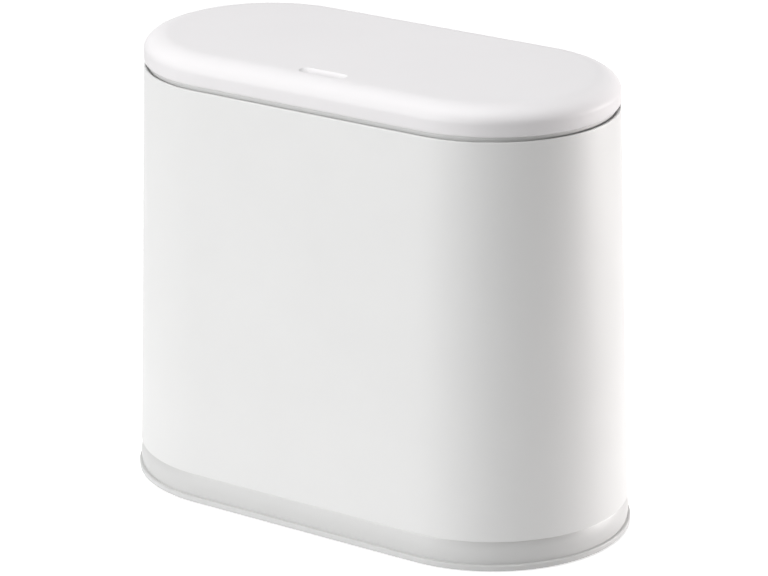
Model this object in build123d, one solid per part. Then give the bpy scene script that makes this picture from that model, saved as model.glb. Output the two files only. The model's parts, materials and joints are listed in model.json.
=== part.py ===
from build123d import *
import math
import os

# A slim waste bin with a press-top lid. Millimetres, +Z up, front at -Y, the origin on the floor under the
# middle of the bin. Every shell follows one spine, a straight line along X, so its plan is a stadium.

# Plan and fits
spine = 156.0
slip_clearance = 0.3
running_clearance = 0.06
screw_clearance = 0.05
spine_half = spine / 2
quarter_turn = 90.0

# Outer sleeve
sleeve_top_radius = 72.0
sleeve_flare = 7.5
sleeve_height = 232.4
sleeve_wall = 2.4
sleeve_rim_lip = 1.1
sleeve_rim_round = 0.7
sleeve_foot_round = 0.6

# Base tray
base_height = 17.2
base_wall = 2.2
lip_overhang = 1.5
lip_height = 3.6
lip_round = 0.8
ledge_width = 2.0
seat_inset = 1.5
skirt_bulge = 1.1
floor_rise = 4.0
floor_thickness = 2.5
spigot_height = 13.0
spigot_wall = 2.0
snap_length = 16.0
snap_height = 4.0
snap_depth = 0.9
snap_rise = 7.0
snap_spacing = 80.0

# Rubber feet
foot_radius = 9.0
foot_drop = 1.0
foot_socket_depth = 1.0
foot_socket_wall = 2.4
foot_post_height = 2.8
foot_round = 0.6
foot_end_reach = 22.0
foot_inset = 31.5

# Top frame
deck_width = 14.5
mouth_round = 1.0
collar_wall = 1.8
collar_drop = 20.0
deck_thickness = 2.2
rim_flange_thickness = 1.6
rim_groove = 1.4
upstand_height = 3.2
upstand_wall = 1.4
frame_spigot_wall = 1.8
frame_spigot_drop = 14.0

# Lid
lid_gap = 2.5
lid_height = 16.4
lid_roll_width = 15.0
lid_roll_height = 9.5
lid_wall = 2.2
lid_top_wall = 2.6
lid_edge_round = 1.6
dimple_length = 31.0
dimple_width = 9.0
dimple_depth = 1.6
dimple_inset = 18.0
liner_rise = 2.0
liner_thickness = 2.0
boss_radius = 3.4
boss_spacing_x = 140.0
boss_inset = 24.0
boss_end_inset = 32.0

# Hinge
hinge_offset = 3.5
hinge_rise = 0.5
hinge_radius = 4.0
pin_radius = 2.0
pin_overhang = 1.6
pin_head_radius = 3.2
pin_head_thickness = 1.2
clip_thickness = 0.8
clip_radius = 3.4
clip_groove_depth = 0.4
clip_mouth_angle = 50.0
centre_knuckle = 8.0
spring_bay = 15.5
lid_knuckle = 29.7
end_knuckle = 12.0
knuckle_web = 9.5
sleeve_notch_drop = 5.5
sleeve_notch_margin = 4.0

# Hinge springs
torsion_wire = 1.2
torsion_radius = 3.1
torsion_pitch = 1.9
torsion_turns = 4
torsion_leg = 10.0
torsion_inset = 2.5

# Press latch
press_travel = 2.0
latch_inset = 22.0
latch_width = 18.0
latch_depth = 11.0
latch_height = 26.0
latch_flange_length = 30.0
latch_flange_depth = 13.0
latch_flange_thickness = 1.6
latch_shelf_thickness = 2.2
latch_shelf_margin = 1.6
latch_screw_spacing = 24.0
latch_screw_boss = 2.8
latch_screw_boss_drop = 6.0
cover_thickness = 2.0
cover_plug = 2.0
cover_peg_radius = 1.1
cover_peg_height = 5.0
plunger_radius = 4.0
plunger_length = 23.5
plunger_bore = 2.4
plunger_bore_depth = 15.0
cam_groove_width = 1.6
cam_groove_depth = 1.0
cam_groove_length = 10.0
cam_groove_rise = 3.0
cam_wire = 1.0
cam_pin_length = 12.0
cam_slot_depth = 2.0
cam_bend = 0.8
magnet_radius = 3.0
magnet_thickness = 2.5
magnet_proud = 0.2
strike_gap = 0.3
coil_wire = 0.5
coil_radius = 1.85
coil_turns = 10
strike_length = 16.0
strike_depth = 12.0
strike_thickness = 1.0
strike_proud = 0.4
strike_screw_spacing = 11.6

# Screws
screw_radius = 1.25
screw_length = 9.0
screw_head_radius = 2.5
screw_head_height = 1.2
small_screw_radius = 0.9
small_screw_length = 2.2
small_screw_head_radius = 1.6
small_screw_head_height = 0.6
recess_share = 0.55
screw_sizes = (screw_radius, screw_length, screw_head_radius, screw_head_height)
small_screw_sizes = (small_screw_radius, small_screw_length, small_screw_head_radius, small_screw_head_height)

# Lid bumpers
bumper_radius = 3.5
bumper_stem_radius = 1.8
bumper_angle = 50.0
bumper_round = 0.6

# Bucket and bag ring
bucket_side_gap = 8.0
bucket_draft = 4.0
bucket_headroom = 14.0
bucket_wall = 1.8
bucket_floor = 2.2
bucket_foot_round = 4.0
bucket_lip_overhang = 3.0
bucket_lip_wall = 1.6
bucket_lip_drop = 8.0
bucket_fence_height = 3.0
bucket_fence_wall = 2.0
ring_thickness = 1.4
ring_skirt = 12.0

# Heights, worked out from the floor upwards
lip_bottom = foot_drop
floor_bottom = lip_bottom + floor_rise
floor_top = floor_bottom + floor_thickness
sleeve_bottom = lip_bottom + base_height
sleeve_top = sleeve_bottom + sleeve_height
lid_bottom = sleeve_top + lid_gap
lid_top = lid_bottom + lid_height
liner_bottom = lid_bottom + liner_rise
liner_top = liner_bottom + liner_thickness
lid_ceiling = lid_top - lid_top_wall
bucket_top = sleeve_top - bucket_headroom
bucket_height = bucket_top - floor_top

# Radii that follow the sleeve's rim
mouth_radius = sleeve_top_radius - deck_width
bucket_rim_radius = sleeve_top_radius - bucket_side_gap
bucket_bottom_radius = bucket_rim_radius - bucket_draft

# Hinge line and the places of its knuckles, outwards from the middle
hinge_y = sleeve_top_radius + hinge_offset
hinge_z = sleeve_top + hinge_rise
spring_bay_end = centre_knuckle / 2 + spring_bay
lid_knuckle_start = spring_bay_end + slip_clearance
lid_knuckle_end = lid_knuckle_start + lid_knuckle
end_knuckle_start = lid_knuckle_end + slip_clearance
end_knuckle_end = end_knuckle_start + end_knuckle
leg_room = torsion_wire / 2 + slip_clearance
press_angle = press_travel / (hinge_y + sleeve_top_radius)

# Latch line and heights
latch_y = -(sleeve_top_radius - latch_inset)
shelf_top = sleeve_top - latch_flange_thickness
shelf_bottom = shelf_top - latch_shelf_thickness
housing_bottom = shelf_top - latch_height
coil_seat = housing_bottom + cover_plug
strike_bottom = liner_bottom - strike_proud
magnet_top = strike_bottom - strike_gap
plunger_top = magnet_top - magnet_proud
plunger_bottom = plunger_top - plunger_length
plunger_ceiling = plunger_bottom + plunger_bore_depth


def sleeve_radius(z):
    """Outer radius of the drafted sleeve at a height."""
    return sleeve_top_radius + sleeve_flare * (sleeve_top - z) / sleeve_height


def sleeve_bore(z):
    """Inner radius of the drafted sleeve at a height."""
    return sleeve_radius(z) - sleeve_wall


def around(face):
    """Carry a section, drawn as (distance out from the spine, height), round the whole spine."""
    front = Plane(origin=(spine_half, 0, 0), x_dir=(0, -1, 0), z_dir=(-1, 0, 0)) * face
    back = Plane(origin=(-spine_half, 0, 0), x_dir=(0, 1, 0), z_dir=(1, 0, 0)) * face
    right_end = revolve(front, Axis((spine_half, 0, 0), (0, 0, 1)), 180)
    left_end = revolve(back, Axis((-spine_half, 0, 0), (0, 0, 1)), 180)
    return extrude(front, spine) + right_end + extrude(back, spine) + left_end


def outline(points, radii):
    """Closed section with its corners rounded by the radii given."""
    return make_face(FilletPolyline(*points, radius=radii, close=True))


def plate(radius, bottom, thickness):
    """Flat stadium plate round the spine."""
    return extrude(Pos(0, 0, bottom) * SlotCenterToCenter(spine, 2 * radius), thickness)


def block(x0, x1, y0, y1, z0, z1):
    """Box between two corners."""
    return Pos((x0 + x1) / 2, (y0 + y1) / 2, (z0 + z1) / 2) * Box(x1 - x0, y1 - y0, z1 - z0)


def latch_block(half_x, half_y, z0, z1):
    """Box centred on the latch line."""
    return block(-half_x, half_x, latch_y - half_y, latch_y + half_y, z0, z1)


def post(x, y, z0, z1, radius):
    """Upright cylinder between two heights."""
    return Pos(x, y, (z0 + z1) / 2) * Cylinder(radius, z1 - z0)


def barrel(x0, x1, radius):
    """Cylinder along the hinge line."""
    return Pos((x0 + x1) / 2, hinge_y, hinge_z) * Rot(0, 90, 0) * Cylinder(radius, x1 - x0)


def screw(radius, length, head_radius, head_height):
    """Countersunk screw with a cross recess, its flat head at z = 0 and its shank upwards."""
    head = Pos(0, 0, head_height / 2) * Cone(head_radius, radius, head_height)
    body = head + post(0, 0, 0, length, radius)
    span = head_radius * 2 * recess_share
    slit = span / 4
    depth = head_height * recess_share
    for size in ((span, slit), (slit, span)):
        body -= Pos(0, 0, depth / 2) * Box(size[0], size[1], depth)
    return body


def screw_hole(radius, depth, head_radius, head_height):
    """Clearance for the screw above: countersink and pilot."""
    pilot = radius + screw_clearance
    sink = Pos(0, 0, head_height / 2) * Cone(head_radius + screw_clearance, pilot, head_height)
    return sink + post(0, 0, 0, depth, pilot)


def biarc(start, start_tangent, end, end_tangent):
    """Two arcs that meet smoothly, between two points with their tangents."""
    reach = end - start
    both = start_tangent + end_tangent
    a = both.dot(both) - 4
    b = -2 * reach.dot(both)
    c = reach.dot(reach)
    arm = (-b - math.sqrt(b * b - 4 * a * c)) / (2 * a)
    first = start + start_tangent * arm
    last = end - end_tangent * arm
    middle = (first + last) * 0.5
    return [
        Edge.make_tangent_arc(start, start_tangent, middle),
        Edge.make_tangent_arc(middle, last - first, end),
    ]


def helix_edges(point, tangent, half_turns):
    """Biarcs of half a turn each along a helix given by its point and its tangent at an angle."""
    edges = []
    for step in range(half_turns):
        begin = step * math.pi
        finish = begin + math.pi
        edges += biarc(point(begin), tangent(begin), point(finish), tangent(finish))
    return edges


def least_gap(point, half_turns, wire, samples=24):
    """Smallest gap between neighbouring turns, measured on points along the wire."""
    angles = [math.pi * i / samples for i in range(half_turns * samples + 1)]
    gaps = [
        (point(low) - point(high)).length - wire
        for low in angles
        for high in angles
        if math.pi < high - low < 3 * math.pi
    ]
    return min(gaps)


def make_outer_sleeve():
    """Drafted body with a rebated rim, a notch for the hinge and pockets for the base's snaps."""
    rebate = sleeve_top - rim_groove - rim_flange_thickness
    wall = outline(
        [
            (sleeve_bore(sleeve_bottom), sleeve_bottom),
            (sleeve_radius(sleeve_bottom), sleeve_bottom),
            (sleeve_top_radius, sleeve_top),
            (sleeve_top_radius - sleeve_rim_lip, sleeve_top),
            (sleeve_top_radius - sleeve_rim_lip, rebate),
            (sleeve_bore(rebate), rebate),
        ],
        [0, sleeve_foot_round, sleeve_rim_round, 0, 0, 0],
    )
    sleeve = around(wall)
    notch_half = end_knuckle_end + sleeve_notch_margin
    notch_floor = sleeve_top - sleeve_notch_drop
    sleeve -= block(-notch_half, notch_half, mouth_radius, hinge_y, notch_floor, lid_bottom)
    for x, side in snap_places():
        sleeve -= snap(x, side, slip_clearance)
    return sleeve


def snap_places():
    """Places of the snaps, as x and the side of the spine."""
    return [(x * snap_spacing / 2, side) for x in (-1, 1) for side in (-1, 1)]


def snap(x, side, room):
    """Snap pad on the base's spigot, or its pocket when there is room round it."""
    middle = sleeve_bottom + snap_rise
    root = sleeve_bore(middle) - slip_clearance - spigot_wall / 2
    tip = sleeve_bore(middle) - slip_clearance + snap_depth + room
    near, far = sorted((side * root, side * tip))
    half_length = snap_length / 2 + room
    half_height = snap_height / 2 + room
    return block(x - half_length, x + half_length, near, far, middle - half_height, middle + half_height)


def make_base_tray():
    """Bulged skirt with its lip, the floor, the spigot inside the sleeve and the posts for the feet."""
    seat = sleeve_radius(sleeve_bottom) - seat_inset
    lip = sleeve_radius(sleeve_bottom) + lip_overhang
    ledge = lip_bottom + lip_height
    tuck = lip - ledge_width
    spigot_top = sleeve_bottom + spigot_height
    spigot_low = sleeve_bore(sleeve_bottom) - slip_clearance
    spigot_high = sleeve_bore(spigot_top) - slip_clearance
    skirt = Polyline((spigot_high, spigot_top), (spigot_low, sleeve_bottom), (seat, sleeve_bottom))
    skirt += SagittaArc((seat, sleeve_bottom), (tuck, ledge), skirt_bulge)
    skirt += FilletPolyline((tuck, ledge), (lip, ledge), (lip, lip_bottom), (lip - base_wall, lip_bottom),
                            radius=[lip_round, lip_round])
    skirt += Polyline(
        (lip - base_wall, lip_bottom),
        (tuck - base_wall, ledge + base_wall / 2),
        (spigot_low - spigot_wall, sleeve_bottom),
        (spigot_high - spigot_wall, spigot_top),
        (spigot_high, spigot_top),
    )
    tray = around(make_face(skirt)) + plate(tuck - base_wall / 2, floor_bottom, floor_thickness)
    fence = bucket_bottom_radius + slip_clearance * 2
    tray += plate(fence + bucket_fence_wall, floor_top, bucket_fence_height)
    tray -= plate(fence, floor_top, bucket_fence_height)
    for x, side in snap_places():
        tray += snap(x, side, 0)
    post_bottom = floor_bottom - foot_post_height
    for x, y in foot_places().values():
        tray += post(x, y, post_bottom, floor_bottom, foot_radius + slip_clearance + foot_socket_wall)
        tray -= post(x, y, post_bottom, post_bottom + foot_socket_depth, foot_radius + slip_clearance)
    return tray


def foot_places():
    """Where each rubber foot stands."""
    reach_x = spine_half + foot_end_reach
    reach_y = sleeve_radius(sleeve_bottom) - foot_inset
    places = {}
    for row, y in (("front", -1), ("rear", 1)):
        for column, x in (("left", -1), ("right", 1)):
            places[f"foot_{row}_{column}"] = (x * reach_x, y * reach_y)
    return places


def make_foot(x, y):
    """Rubber disc held in its socket under the base."""
    top = floor_bottom - foot_post_height + foot_socket_depth
    disc = post(x, y, 0, top, foot_radius)
    return fillet(disc.edges().group_by(Axis.Z)[0], foot_round)


def make_top_frame():
    """Ring with the waste mouth, the lid's upstand, the latch shelf and the fixed hinge knuckles."""
    flange = sleeve_top_radius - sleeve_rim_lip - slip_clearance
    flange_top = sleeve_top - rim_groove
    flange_bottom = flange_top - rim_flange_thickness
    spigot = sleeve_bore(flange_bottom) - slip_clearance
    spigot_bottom = sleeve_top - frame_spigot_drop
    collar = mouth_radius + collar_wall
    collar_bottom = sleeve_top - collar_drop
    deck_bottom = sleeve_top - deck_thickness
    upstand = sleeve_top_radius - lid_wall - slip_clearance
    upstand_top = sleeve_top + upstand_height
    ring = outline(
        [
            (mouth_radius, collar_bottom),
            (mouth_radius, sleeve_top),
            (upstand - upstand_wall, sleeve_top),
            (upstand - upstand_wall, upstand_top),
            (upstand, upstand_top),
            (upstand, flange_top),
            (flange, flange_top),
            (flange, flange_bottom),
            (spigot, flange_bottom),
            (spigot, spigot_bottom),
            (spigot - frame_spigot_wall, spigot_bottom),
            (spigot - frame_spigot_wall, deck_bottom),
            (collar, deck_bottom),
            (collar, collar_bottom),
        ],
        [0, mouth_round, 0, 0, 0, 0, 0, 0, 0, 0, 0, 0, 0, 0],
    )
    frame = around(ring) + make_latch_shelf()
    for x0, x1 in frame_knuckles():
        frame += block(x0, x1, hinge_y - knuckle_web, hinge_y, hinge_z - hinge_radius, sleeve_top)
        frame += barrel(x0, x1, hinge_radius)
    frame -= barrel(-end_knuckle_end, end_knuckle_end, pin_radius + running_clearance)
    for side in (-1, 1):
        frame -= leg_slot(side, fixed_leg_x(), hinge_z - torsion_radius - leg_room, upstand_top)
        frame -= leg_slot(side, moving_leg_x(), sleeve_top, upstand_top)
        frame -= post(*bumper_place(side), deck_bottom, sleeve_top, bumper_stem_radius + running_clearance)
    return frame


def make_latch_shelf():
    """Shelf that carries the latch behind the front of the mouth, with its pocket, hole and screw bosses."""
    half_length = latch_flange_length / 2 + slip_clearance
    half_depth = latch_flange_depth / 2 + slip_clearance
    outer = half_length + latch_shelf_margin
    root = -(mouth_radius + collar_wall / 2)
    shelf = block(-outer, outer, root, latch_y + half_depth + latch_shelf_margin, shelf_bottom, sleeve_top)
    shelf -= latch_block(half_length, half_depth, shelf_top, sleeve_top)
    boss_bottom = shelf_bottom - latch_screw_boss_drop
    for x in latch_screw_places():
        shelf += post(x, latch_y, boss_bottom, shelf_top, latch_screw_boss)
        shelf -= latch_screw_cut(x)
    body_x = latch_width / 2 + slip_clearance
    body_y = latch_depth / 2 + slip_clearance
    return shelf - latch_block(body_x, body_y, boss_bottom, sleeve_top)


def latch_screw_places():
    """Sideways places of the latch's screws."""
    return [side * latch_screw_spacing / 2 for side in (-1, 1)]


def latch_screw_cut(x):
    """Hole for a latch screw, its head flush with the frame's deck."""
    return Pos(x, latch_y, sleeve_top) * Rot(180, 0, 0) * screw_hole(*screw_sizes)


def frame_knuckles():
    """Spans along the hinge that belong to the frame."""
    half = centre_knuckle / 2
    return [(-end_knuckle_end, -end_knuckle_start), (-half, half), (end_knuckle_start, end_knuckle_end)]


def lid_knuckles():
    """Spans along the hinge that belong to the lid."""
    return [(-lid_knuckle_end, -lid_knuckle_start), (lid_knuckle_start, lid_knuckle_end)]


def leg_slope():
    """Sideways run of a hinge spring's leg for each millimetre of its length."""
    return torsion_pitch / (2 * math.pi * torsion_radius)


def fixed_leg_x():
    """Middle of the spring leg that lies in the frame."""
    return centre_knuckle / 2 + torsion_inset - torsion_leg * leg_slope() / 2


def moving_leg_x():
    """Middle of the spring leg that lies under the lid."""
    start = centre_knuckle / 2 + torsion_inset
    return start + (torsion_turns + 0.5) * torsion_pitch + torsion_leg * leg_slope() / 2


def leg_slot(side, middle, low, top):
    """Slot for a spring leg between two heights."""
    half = leg_room + torsion_leg * leg_slope() / 2
    near = hinge_y - torsion_leg - torsion_wire
    return block(side * middle - half, side * middle + half, near, hinge_y - torsion_radius, low, top)


def make_lid_shell():
    """Lid with an elliptical rolled edge, the finger dimple, screw bosses and the moving hinge knuckles."""
    edge = sleeve_top_radius
    roll_x = edge - lid_roll_width
    roll_z = lid_top - lid_roll_height
    skin = Polyline((0, lid_ceiling), (0, lid_top), (roll_x, lid_top))
    skin += EllipticalCenterArc((roll_x, roll_z), lid_roll_width, lid_roll_height, arc_size=quarter_turn)
    inner = edge - lid_wall
    skin += FilletPolyline((edge, roll_z), (edge, lid_bottom), (inner, lid_bottom), radius=lid_edge_round)
    skin += Line((inner, lid_bottom), (inner, roll_z))
    skin += EllipticalCenterArc(
        (roll_x, roll_z), lid_roll_width - lid_wall, lid_roll_height - lid_top_wall, arc_size=quarter_turn
    )
    skin += Line((roll_x, lid_ceiling), (0, lid_ceiling))
    shell = around(make_face(skin)) - make_dimple()
    for x, y in boss_places():
        shell += post(x, y, liner_top, lid_ceiling, boss_radius)
        shell -= Pos(x, y, liner_bottom) * post(0, 0, 0, screw_length, screw_radius + screw_clearance)
    shell -= barrel(-end_knuckle_end, end_knuckle_end, hinge_radius + slip_clearance)
    for x0, x1 in lid_knuckles():
        shell += block(x0, x1, inner, hinge_y, lid_bottom, hinge_z + hinge_radius)
        shell += barrel(x0, x1, hinge_radius)
    shell -= barrel(-end_knuckle_end, end_knuckle_end, pin_radius + running_clearance)
    for side in (-1, 1):
        shell -= leg_slot(side, moving_leg_x(), lid_bottom, hinge_z + torsion_radius + leg_room)
    return shell


def make_dimple():
    """Scoop for a fingertip: a round-bottomed groove with ball ends."""
    half_width = dimple_width / 2
    ball = (half_width**2 + dimple_depth**2) / (2 * dimple_depth)
    reach = (dimple_length - dimple_width) / 2
    height = lid_top - dimple_depth + ball
    scoop = Rot(0, 90, 0) * Cylinder(ball, 2 * reach)
    for side in (-1, 1):
        scoop += Pos(side * reach, 0, 0) * Sphere(ball)
    return Pos(0, -(sleeve_top_radius - dimple_inset), height) * scoop


def boss_places():
    """Where the lid's screws stand: four at the corners and one in each round end."""
    row = sleeve_top_radius - boss_inset
    end = spine_half + sleeve_top_radius - boss_end_inset
    places = [(x * boss_spacing_x / 2, y * row) for x in (-1, 1) for y in (-1, 1)]
    return places + [(side * end, 0) for side in (-1, 1)]


def make_lid_liner():
    """Inner panel of the lid, with countersunk screw holes and a pocket for the strike plate."""
    liner = plate(sleeve_top_radius - lid_wall - slip_clearance, liner_bottom, liner_thickness)
    for x, y in boss_places():
        liner -= Pos(x, y, liner_bottom) * screw_hole(*screw_sizes)
    half_length = strike_length / 2 + slip_clearance
    half_depth = strike_depth / 2 + slip_clearance
    liner -= latch_block(half_length, half_depth, liner_bottom, strike_bottom + strike_thickness)
    for x in strike_screw_places():
        liner -= strike_screw_cut(x)
    return liner


def make_strike_plate():
    """Steel plate that the latch's magnet holds."""
    strike = latch_block(strike_length / 2, strike_depth / 2, strike_bottom, strike_bottom + strike_thickness)
    for x in strike_screw_places():
        strike -= strike_screw_cut(x)
    return strike


def strike_screw_places():
    """Sideways places of the strike plate's screws."""
    return [side * strike_screw_spacing / 2 for side in (-1, 1)]


def strike_screw_cut(x):
    """Hole for a strike plate screw."""
    return Pos(x, latch_y, strike_bottom) * screw_hole(*small_screw_sizes)


def make_strike_screws():
    """The two small screws of the strike plate."""
    return [Pos(x, latch_y, strike_bottom) * screw(*small_screw_sizes) for x in strike_screw_places()]


def make_lid_screws():
    """Screws from the liner up into the lid's bosses."""
    return [Pos(x, y, liner_bottom) * screw(*screw_sizes) for x, y in boss_places()]


def make_latch_screws():
    """Screws from the latch's flange down into the shelf."""
    body = Rot(180, 0, 0) * screw(*screw_sizes)
    return [Pos(x, latch_y, sleeve_top) * body for x in latch_screw_places()]


def make_latch_housing():
    """Flanged box with the plunger's bore and a slot for the cam pin."""
    housing = latch_block(latch_width / 2, latch_depth / 2, housing_bottom, sleeve_top)
    housing += latch_block(latch_flange_length / 2, latch_flange_depth / 2, shelf_top, sleeve_top)
    housing -= post(0, latch_y, housing_bottom, sleeve_top, plunger_radius + slip_clearance)
    half_slot = cam_wire / 2 + slip_clearance
    slot_top = cam_tip_z() + cam_wire / 2 + slip_clearance
    housing -= block(
        0, plunger_radius + cam_slot_depth, latch_y - half_slot, latch_y + half_slot, coil_seat, slot_top
    )
    for x in latch_screw_places():
        housing -= latch_screw_cut(x)
    return housing


def cam_tip_z():
    """Height of the cam pin's tip, halfway along the plunger's groove."""
    return plunger_bottom + cam_groove_rise + cam_groove_length / 2


def make_latch_cam_pin():
    """Bent wire that runs in the plunger's groove."""
    outer = plunger_radius + cam_slot_depth - cam_wire / 2 - slip_clearance
    tip = plunger_radius - cam_groove_depth + slip_clearance
    foot = cam_tip_z() - cam_pin_length
    route = FilletPolyline(
        (outer, latch_y, foot), (outer, latch_y, cam_tip_z()), (tip, latch_y, cam_tip_z()), radius=cam_bend
    )
    return sweep(Plane((outer, latch_y, foot), z_dir=(0, 0, 1)) * Circle(cam_wire / 2), path=route)


def make_latch_cover():
    """Bottom cap of the latch, with a plug in the bore and a peg inside the coil spring."""
    bottom = housing_bottom - cover_thickness
    cover = latch_block(latch_width / 2, latch_depth / 2, bottom, housing_bottom)
    cover += post(0, latch_y, housing_bottom, coil_seat, plunger_radius)
    return cover + post(0, latch_y, coil_seat, coil_seat + cover_peg_height, cover_peg_radius)


def make_latch_plunger():
    """Hollow plunger with the magnet's pocket and the cam groove."""
    plunger = post(0, latch_y, plunger_bottom, plunger_top, plunger_radius)
    plunger -= post(0, latch_y, plunger_bottom, plunger_ceiling, plunger_bore)
    plunger -= post(0, latch_y, magnet_top - magnet_thickness, plunger_top, magnet_radius + screw_clearance)
    groove_low = plunger_bottom + cam_groove_rise
    half = cam_groove_width / 2
    plunger -= block(
        plunger_radius - cam_groove_depth,
        plunger_radius * 2,
        latch_y - half,
        latch_y + half,
        groove_low,
        groove_low + cam_groove_length,
    )
    return plunger


def make_latch_spring():
    """Compression spring between the cover and the plunger."""
    bottom = coil_seat + coil_wire / 2 + screw_clearance
    top = plunger_ceiling - coil_wire / 2 - screw_clearance
    rise = (top - bottom) / (coil_turns * 2 * math.pi)

    def point(angle):
        x = coil_radius * math.cos(angle)
        y = latch_y + coil_radius * math.sin(angle)
        return Vector(x, y, bottom + rise * angle)

    def tangent(angle):
        return Vector(-coil_radius * math.sin(angle), coil_radius * math.cos(angle), rise).normalized()

    path = Wire(helix_edges(point, tangent, coil_turns * 2))
    print("latch_spring least gap", round(least_gap(point, coil_turns * 2, coil_wire), 3))
    return sweep(Plane(point(0), z_dir=tangent(0)) * Circle(coil_wire / 2), path=path)


def make_hinge_spring(side):
    """Torsion spring round the hinge pin, with one leg in the frame and one under the lid."""
    start = centre_knuckle / 2 + torsion_inset
    advance = torsion_pitch / (2 * math.pi)
    half_turns = torsion_turns * 2 + 1

    def point(angle):
        y = hinge_y + torsion_radius * math.sin(angle)
        z = hinge_z - torsion_radius * math.cos(angle)
        return Vector(start + advance * angle, y, z)

    def tangent(angle):
        y = torsion_radius * math.cos(angle)
        return Vector(advance, y, torsion_radius * math.sin(angle)).normalized()

    last = half_turns * math.pi
    leg_start = point(0) - tangent(0) * torsion_leg
    leg_end = point(last) + tangent(last) * torsion_leg
    edges = [Edge.make_line(leg_start, point(0))]
    edges += helix_edges(point, tangent, half_turns)
    edges += [Edge.make_line(point(last), leg_end)]
    print("hinge_spring least gap", round(least_gap(point, half_turns, torsion_wire), 3))
    spring = sweep(Plane(leg_start, z_dir=tangent(0)) * Circle(torsion_wire / 2), path=Wire(edges))
    return spring if side > 0 else mirror(spring, about=Plane.YZ)


def make_hinge_pin():
    """Headed pin through every knuckle, with a groove for its clip."""
    end = end_knuckle_end + slip_clearance
    pin = barrel(-end, end + clip_thickness + pin_overhang, pin_radius)
    pin += barrel(-end - pin_head_thickness, -end, pin_head_radius)
    groove = barrel(end, end + clip_thickness, pin_head_radius)
    groove -= barrel(end, end + clip_thickness, pin_radius - clip_groove_depth)
    return pin - groove


def make_hinge_pin_clip():
    """Open ring that snaps into the pin's groove."""
    end = end_knuckle_end + slip_clearance
    low = end + running_clearance
    high = end + clip_thickness - running_clearance
    inner = pin_radius - clip_groove_depth + running_clearance
    clip = barrel(low, high, clip_radius) - barrel(low, high, inner)
    mouth = inner * math.sin(math.radians(clip_mouth_angle))
    return clip - block(low, high, hinge_y - mouth, hinge_y + mouth, hinge_z - clip_radius, hinge_z)


def bumper_place(side):
    """Place of a bumper on the deck, in the front quarter of a round end."""
    deck = (mouth_radius + sleeve_top_radius - sleeve_rim_lip) / 2
    angle = math.radians(bumper_angle)
    return side * (spine_half + deck * math.cos(angle)), -deck * math.sin(angle)


def make_lid_bumper(side):
    """Rubber button whose top stops the liner at the end of the press."""
    x, y = bumper_place(side)
    top = liner_bottom - press_angle * (hinge_y - y + bumper_radius) - slip_clearance
    button = post(x, y, sleeve_top, top, bumper_radius)
    button = fillet(button.edges().group_by(Axis.Z)[-1], bumper_round)
    return button + post(x, y, sleeve_top - deck_thickness, sleeve_top, bumper_stem_radius)


def make_inner_bucket():
    """Drafted bucket with a floor and a turned-down rim to lift it by."""
    rim_bottom = bucket_top - bucket_wall
    lip = bucket_rim_radius + bucket_lip_overhang
    wall = outline(
        [
            (0, floor_top),
            (bucket_bottom_radius, floor_top),
            (bucket_rim_radius, rim_bottom),
            (lip - bucket_lip_wall, rim_bottom),
            (lip - bucket_lip_wall, bucket_top - bucket_lip_drop),
            (lip, bucket_top - bucket_lip_drop),
            (lip, bucket_top),
            (bucket_rim_radius - bucket_wall, bucket_top),
            (bucket_bottom_radius - bucket_wall, floor_top + bucket_floor),
            (0, floor_top + bucket_floor),
        ],
        [0, bucket_foot_round, 0, 0, 0, 0, bucket_lip_wall / 2, 0, bucket_foot_round - bucket_wall, 0],
    )
    return around(wall)


def make_bag_ring():
    """Ring on the bucket's rim that holds a bag's edge."""
    skirt_bottom = bucket_top - ring_skirt
    slope = (bucket_rim_radius - bucket_bottom_radius) / bucket_height
    skirt = bucket_rim_radius - bucket_wall - slip_clearance - slope * ring_skirt
    edge = bucket_rim_radius + bucket_lip_overhang - bucket_lip_wall / 2
    ring = outline(
        [
            (skirt - ring_thickness, skirt_bottom),
            (skirt, skirt_bottom),
            (skirt, bucket_top),
            (edge, bucket_top),
            (edge, bucket_top + ring_thickness),
            (skirt - ring_thickness, bucket_top + ring_thickness),
        ],
        [0, 0, 0, 0, ring_thickness / 2, ring_thickness / 2],
    )
    return around(ring)


def write(name, shape):
    """Write one node, or a group of equal pieces, to its file."""
    solids = shape if isinstance(shape, list) else [shape]
    whole = Compound(children=[solid for piece in solids for solid in piece.solids()])
    export_step(whole if len(whole.solids()) > 1 else whole.solids()[0], f"parts/{name}.step")


os.makedirs("parts", exist_ok=True)
write("base_tray", make_base_tray())
for name, (x, y) in foot_places().items():
    write(name, make_foot(x, y))
write("outer_sleeve", make_outer_sleeve())
write("top_frame", make_top_frame())
write("latch_housing", make_latch_housing())
write("latch_cover", make_latch_cover())
write("latch_cam_pin", make_latch_cam_pin())
write("latch_spring", make_latch_spring())
write("latch_screws", make_latch_screws())
write("latch_plunger", make_latch_plunger())
write("latch_magnet", post(0, latch_y, magnet_top - magnet_thickness, magnet_top, magnet_radius))
write("hinge_pin", make_hinge_pin())
write("hinge_pin_clip", make_hinge_pin_clip())
for name, side in (("left", -1), ("right", 1)):
    write(f"hinge_spring_{name}", make_hinge_spring(side))
    write(f"lid_bumper_{name}", make_lid_bumper(side))
write("lid_shell", make_lid_shell())
write("lid_liner", make_lid_liner())
write("lid_screws", make_lid_screws())
write("strike_plate", make_strike_plate())
write("strike_screws", make_strike_screws())
write("inner_bucket", make_inner_bucket())
write("bag_ring", make_bag_ring())
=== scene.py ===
import json
import logging
import math
from abc import ABC, abstractmethod
from dataclasses import dataclass
from enum import Enum
from typing import ClassVar

import bpy
import numpy as np
from mathutils import Euler, Matrix, Vector


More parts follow.
